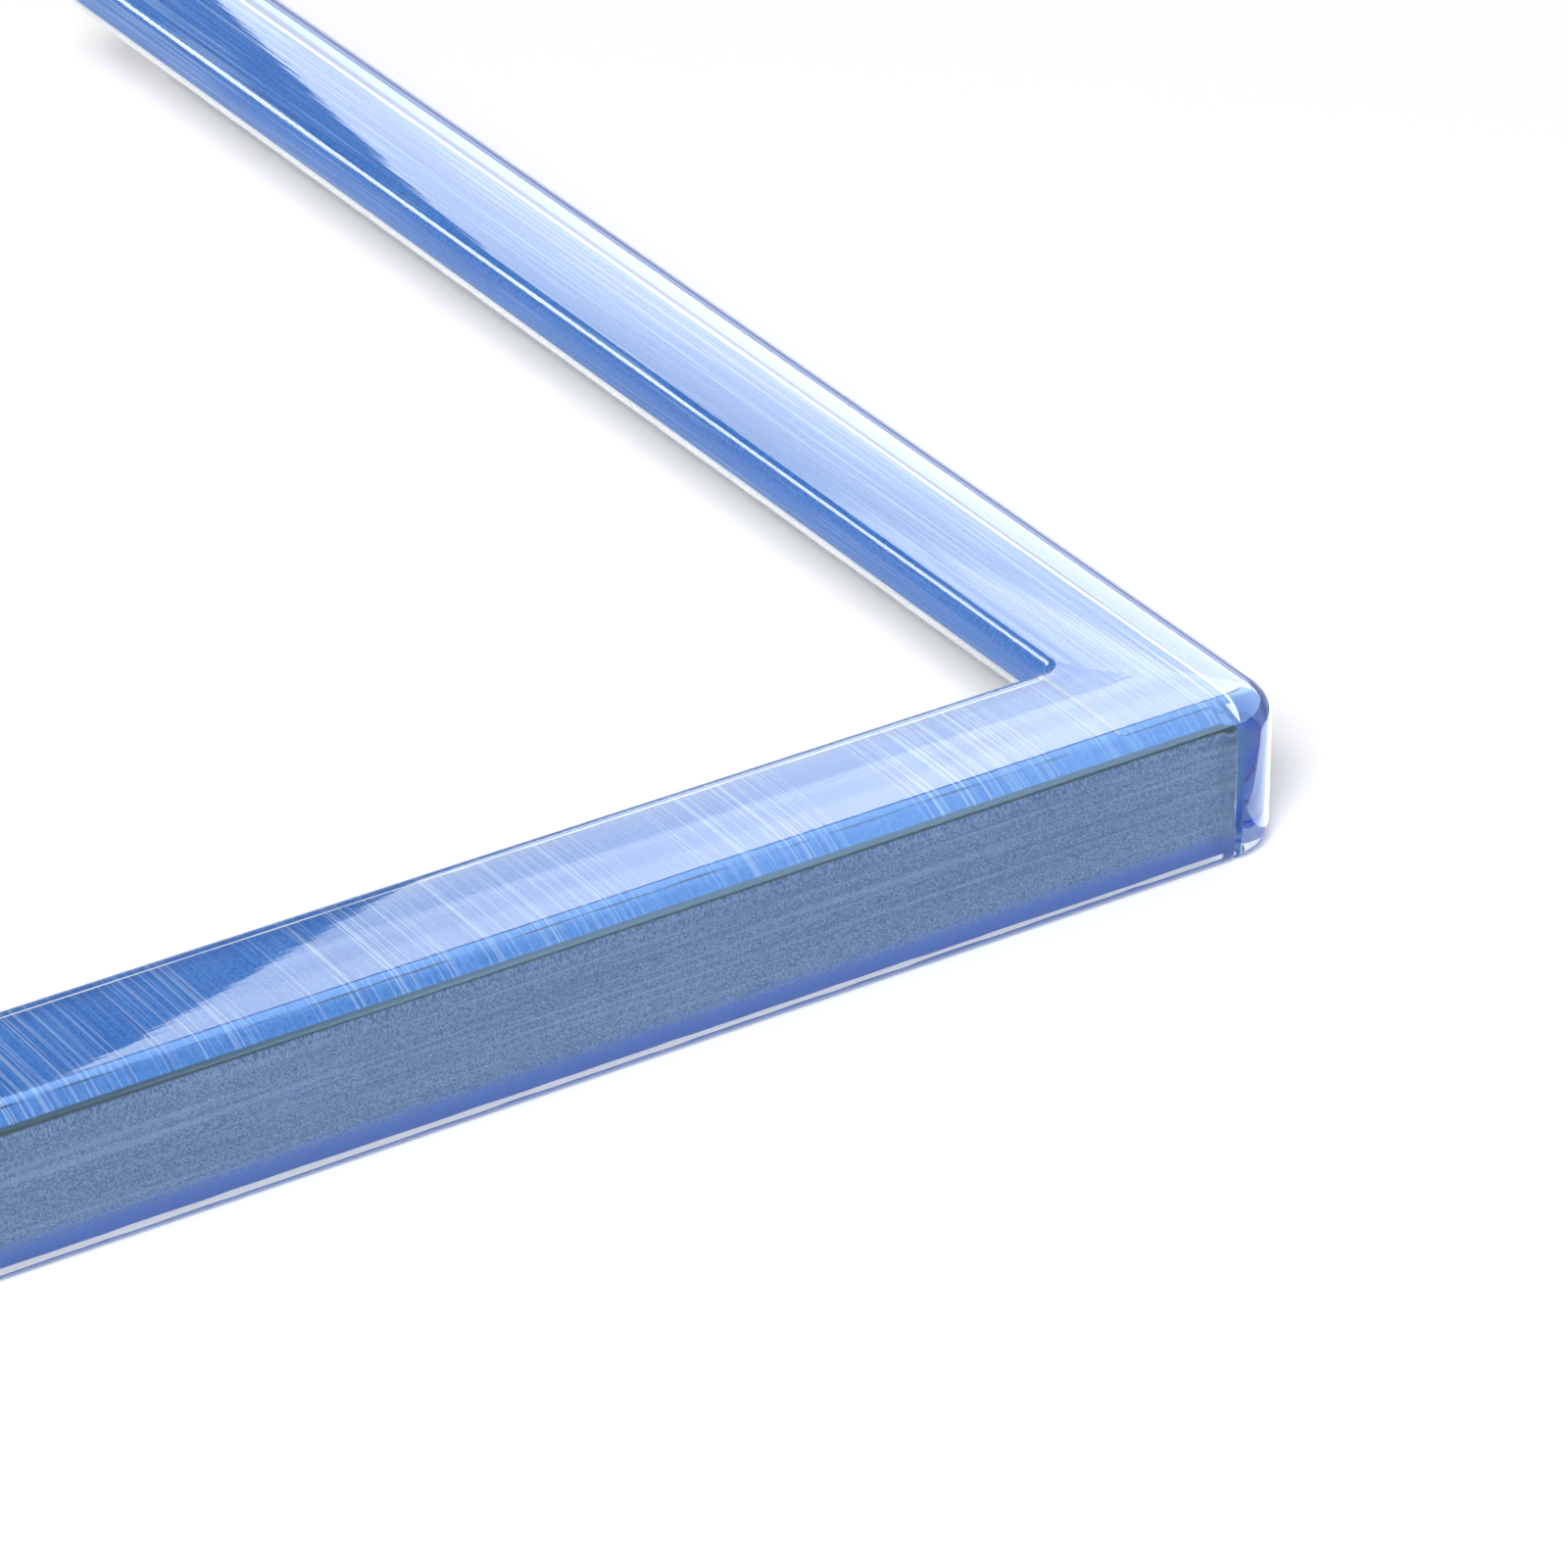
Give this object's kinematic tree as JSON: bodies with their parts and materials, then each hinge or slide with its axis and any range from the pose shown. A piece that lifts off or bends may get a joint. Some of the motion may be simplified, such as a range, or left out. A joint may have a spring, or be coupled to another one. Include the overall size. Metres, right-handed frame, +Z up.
{
  "type": "furniture corner protector",
  "caption": "Clear soft-plastic L-section edge guard that turns round one corner of a table top, held on by double-sided tape on its inner faces.",
  "frame": {"origin": "centre of the overall footprint, level with the lower edges that it stands on", "axes": "+X along the front arm towards the protected corner, +Y along the side arm away from that corner, +Z up out of the furniture's top"},
  "size_m": [0.2446, 0.2446, 0.02],
  "materials": {
    "clear_plastic": "clear, glossy, pale blue soft plastic",
    "mounting_tape": "matt, finely mottled blue-grey foam tape"
  },
  "bodies": {
    "root": {"corner_guard": "clear_plastic", "tape_front_face": "mounting_tape", "tape_front_top": "mounting_tape", "tape_side_face": "mounting_tape", "tape_side_top": "mounting_tape"}
  },
  "joints": []
}
